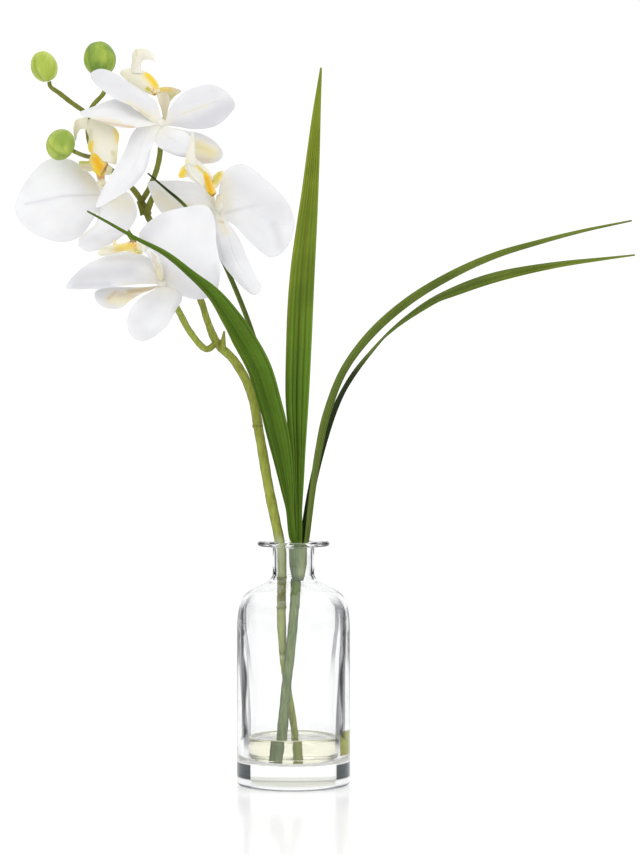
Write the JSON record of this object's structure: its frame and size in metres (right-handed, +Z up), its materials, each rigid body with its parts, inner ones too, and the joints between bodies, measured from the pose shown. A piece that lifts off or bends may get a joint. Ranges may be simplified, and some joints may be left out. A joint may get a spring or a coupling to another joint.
{
  "type": "moth orchid spray in a glass bottle vase",
  "caption": "Cut spray of white moth orchids with buds and arching grass blades, standing in a clear bottle vase with a little water.",
  "frame": {"origin": "middle of the vase's flat base, at the surface it stands on", "axes": "+Z up along the vase's axis; -Y towards the viewer of the arrangement, +X to the viewer's right"},
  "size_m": [0.3858, 0.091, 0.4583],
  "materials": {
    "clear_glass": "polished clear glass with a thick base",
    "water": "clear water with a faint yellow-green tint",
    "orchid_stem": "olive-green plant stem, satin",
    "grass_stem": "grey-green grass stem and sheath, satin",
    "grass_blade": "ribbed green leaf, satin",
    "bud": "smooth green bud, satin",
    "petal": "white petal with cream at its base, soft satin",
    "lip": "cream and yellow flower lip, satin",
    "column": "cream flower column, satin"
  },
  "bodies": {
    "root": {"vase": "clear_glass", "water": "water", "orchid_stem": "orchid_stem", "grass_stem": "grass_stem", "blade_tall": "grass_blade", "blade_left": "grass_blade", "blade_back": "grass_blade", "blade_right_high": "grass_blade", "blade_right_low": "grass_blade", "bud_left": "bud", "bud_top": "bud", "bud_low": "bud", "bloom_top_tepals": "petal", "bloom_top_lip": "lip", "bloom_top_column": "column", "bloom_left_tepals": "petal", "bloom_left_lip": "lip", "bloom_left_column": "column", "bloom_right_tepals": "petal", "bloom_right_lip": "lip", "bloom_right_column": "column", "bloom_low_tepals": "petal", "bloom_low_lip": "lip", "bloom_low_column": "column"}
  },
  "joints": []
}
